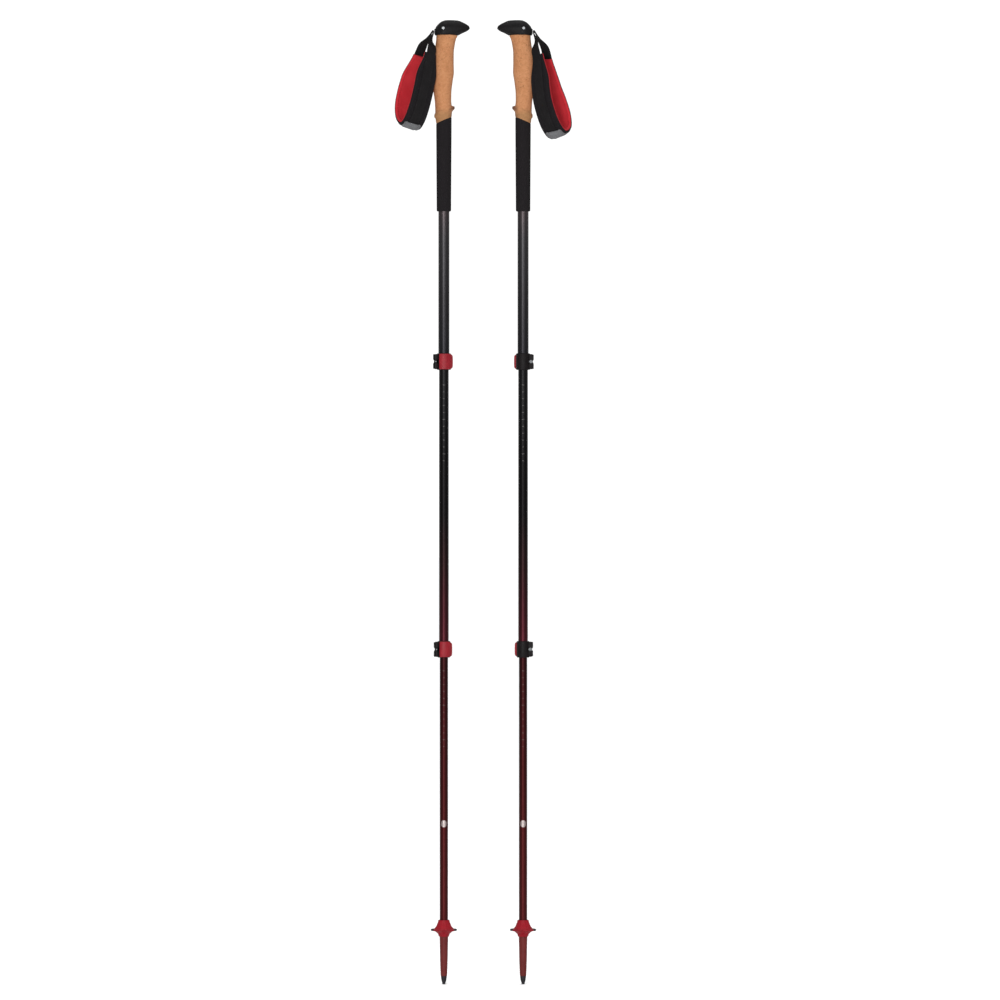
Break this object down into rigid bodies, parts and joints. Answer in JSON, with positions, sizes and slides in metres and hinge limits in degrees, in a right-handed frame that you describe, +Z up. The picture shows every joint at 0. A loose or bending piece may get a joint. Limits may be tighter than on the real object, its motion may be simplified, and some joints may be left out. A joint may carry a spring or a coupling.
{
  "type": "trekking pole pair",
  "caption": "Telescoping trekking poles with cork grips, padded hand straps, lever locks, baskets and carbide tips, standing upright side by side.",
  "frame": {"origin": "at ground level, midway between the tips of the two poles", "axes": "+Z up along the poles, +X from the left pole to the right pole, -Y towards the viewer"},
  "size_m": [0.2573, 0.0725, 1.4],
  "materials": {
    "rubber": "moulded soft rubber, matt, fine grain",
    "cork": "natural pressed cork with fine dark flecks",
    "foam": "closed-cell foam, matt black",
    "hard_plastic": "black glass-filled nylon",
    "pin": "plain brushed steel disc",
    "upper_tube": "anodised grey, fading darker downwards",
    "middle_tube": "anodised dark grey, fading to dark red downwards",
    "lower_tube": "anodised dark red",
    "lever": "red moulded plastic, satin",
    "steel": "zinc-plated steel",
    "bush": "natural acetal",
    "red_plastic": "red moulded plastic",
    "tip_plastic": "dark red moulded plastic",
    "carbide": "sintered tungsten carbide, dark grey",
    "basket_rim": "charcoal moulded plastic",
    "webbing": "black woven webbing",
    "padding": "black air mesh over foam",
    "lining": "red brushed lining",
    "patch": "plain grey woven patch"
  },
  "bodies": {
    "left_handle": {"left_pommel": "rubber", "left_head_insert": "hard_plastic", "left_head_pin": "pin", "left_cork_grip": "cork", "left_foam_sleeve": "foam", "left_upper_tube": "upper_tube", "left_upper_collar": "hard_plastic", "left_upper_barrel": "steel"},
    "left_wedge": {"left_strap_wedge": "hard_plastic"},
    "left_strap": {"left_strap_webbing": "webbing", "left_strap_pad": "padding", "left_strap_lining": "lining", "left_strap_patch": "patch"},
    "left_upper_lever": {"left_upper_cam": "hard_plastic", "left_upper_lever": "lever"},
    "left_upper_screw": {"left_upper_tension_screw": "steel"},
    "left_middle": {"left_middle_tube": "middle_tube", "left_middle_bush": "bush", "left_lower_collar": "hard_plastic", "left_lower_barrel": "steel"},
    "left_lower_lever": {"left_lower_cam": "hard_plastic", "left_lower_lever": "lever"},
    "left_lower_screw": {"left_lower_tension_screw": "steel"},
    "left_lower": {"left_lower_tube": "lower_tube", "left_lower_bush": "bush", "left_flex_tip": "tip_plastic", "left_carbide_tip": "carbide"},
    "left_basket": {"left_basket_hub": "red_plastic", "left_basket_disc": "basket_rim"},
    "right_handle": {"right_pommel": "rubber", "right_head_insert": "hard_plastic", "right_head_pin": "pin", "right_cork_grip": "cork", "right_foam_sleeve": "foam", "right_upper_tube": "upper_tube", "right_upper_collar": "hard_plastic", "right_upper_barrel": "steel"},
    "right_wedge": {"right_strap_wedge": "hard_plastic"},
    "right_strap": {"right_strap_webbing": "webbing", "right_strap_pad": "padding", "right_strap_lining": "lining", "right_strap_patch": "patch"},
    "right_upper_lever": {"right_upper_cam": "hard_plastic", "right_upper_lever": "lever"},
    "right_upper_screw": {"right_upper_tension_screw": "steel"},
    "right_middle": {"right_middle_tube": "middle_tube", "right_middle_bush": "bush", "right_lower_collar": "hard_plastic", "right_lower_barrel": "steel"},
    "right_lower_lever": {"right_lower_cam": "hard_plastic", "right_lower_lever": "lever"},
    "right_lower_screw": {"right_lower_tension_screw": "steel"},
    "right_lower": {"right_lower_tube": "lower_tube", "right_lower_bush": "bush", "right_flex_tip": "tip_plastic", "right_carbide_tip": "carbide"},
    "right_basket": {"right_basket_hub": "red_plastic", "right_basket_disc": "basket_rim"}
  },
  "joints": [
    {"name": "poles_apart", "type": "slide", "parent": "left_handle", "child": "right_handle", "axis": [1, 0, 0], "range_m": [0, 0.3]},
    {"name": "left_wedge_pull", "type": "slide", "parent": "left_handle", "child": "left_wedge", "axis": [-1, 0, 0], "range_m": [0, 0.008]},
    {"name": "left_strap_swing", "type": "hinge", "parent": "left_wedge", "child": "left_strap", "pos_m": [-0.0734, 0, 1.3834], "axis": [0, 1, 0], "range_deg": [0, 100]},
    {"name": "left_upper_lever_open", "type": "hinge", "parent": "left_handle", "child": "left_upper_lever", "pos_m": [-0.0691, -0.0089, 0.904], "axis": [0, 0, -1], "range_deg": [0, 120]},
    {"name": "left_upper_screw_turn", "type": "hinge", "parent": "left_handle", "child": "left_upper_screw", "pos_m": [-0.0691, 0, 0.904], "axis": [0, 1, 0], "range_deg": [-180, 180]},
    {"name": "left_middle_telescope", "type": "slide", "parent": "left_handle", "child": "left_middle", "axis": [0, 0, 1], "range_m": [0, 0.385]},
    {"name": "left_lower_lever_open", "type": "hinge", "parent": "left_middle", "child": "left_lower_lever", "pos_m": [-0.0681, -0.0089, 0.4862], "axis": [0, 0, -1], "range_deg": [0, 120]},
    {"name": "left_lower_screw_turn", "type": "hinge", "parent": "left_middle", "child": "left_lower_screw", "pos_m": [-0.0681, 0, 0.4862], "axis": [0, 1, 0], "range_deg": [-180, 180]},
    {"name": "left_lower_telescope", "type": "slide", "parent": "left_middle", "child": "left_lower", "axis": [0, 0, 1], "range_m": [0, 0.372]},
    {"name": "left_basket_off", "type": "slide", "parent": "left_lower", "child": "left_basket", "axis": [0, 0, -1], "range_m": [0, 0.09]},
    {"name": "right_wedge_pull", "type": "slide", "parent": "right_handle", "child": "right_wedge", "axis": [1, 0, 0], "range_m": [0, 0.008]},
    {"name": "right_strap_swing", "type": "hinge", "parent": "right_wedge", "child": "right_strap", "pos_m": [0.0734, 0, 1.3834], "axis": [0, -1, 0], "range_deg": [0, 100]},
    {"name": "right_upper_lever_open", "type": "hinge", "parent": "right_handle", "child": "right_upper_lever", "pos_m": [0.0691, 0.0089, 0.904], "axis": [0, 0, -1], "range_deg": [0, 120]},
    {"name": "right_upper_screw_turn", "type": "hinge", "parent": "right_handle", "child": "right_upper_screw", "pos_m": [0.0691, 0, 0.904], "axis": [0, -1, 0], "range_deg": [-180, 180]},
    {"name": "right_middle_telescope", "type": "slide", "parent": "right_handle", "child": "right_middle", "axis": [0, 0, 1], "range_m": [0, 0.385]},
    {"name": "right_lower_lever_open", "type": "hinge", "parent": "right_middle", "child": "right_lower_lever", "pos_m": [0.0681, 0.0089, 0.4862], "axis": [0, 0, -1], "range_deg": [0, 120]},
    {"name": "right_lower_screw_turn", "type": "hinge", "parent": "right_middle", "child": "right_lower_screw", "pos_m": [0.0681, 0, 0.4862], "axis": [0, -1, 0], "range_deg": [-180, 180]},
    {"name": "right_lower_telescope", "type": "slide", "parent": "right_middle", "child": "right_lower", "axis": [0, 0, 1], "range_m": [0, 0.372]},
    {"name": "right_basket_off", "type": "slide", "parent": "right_lower", "child": "right_basket", "axis": [0, 0, -1], "range_m": [0, 0.09]}
  ]
}
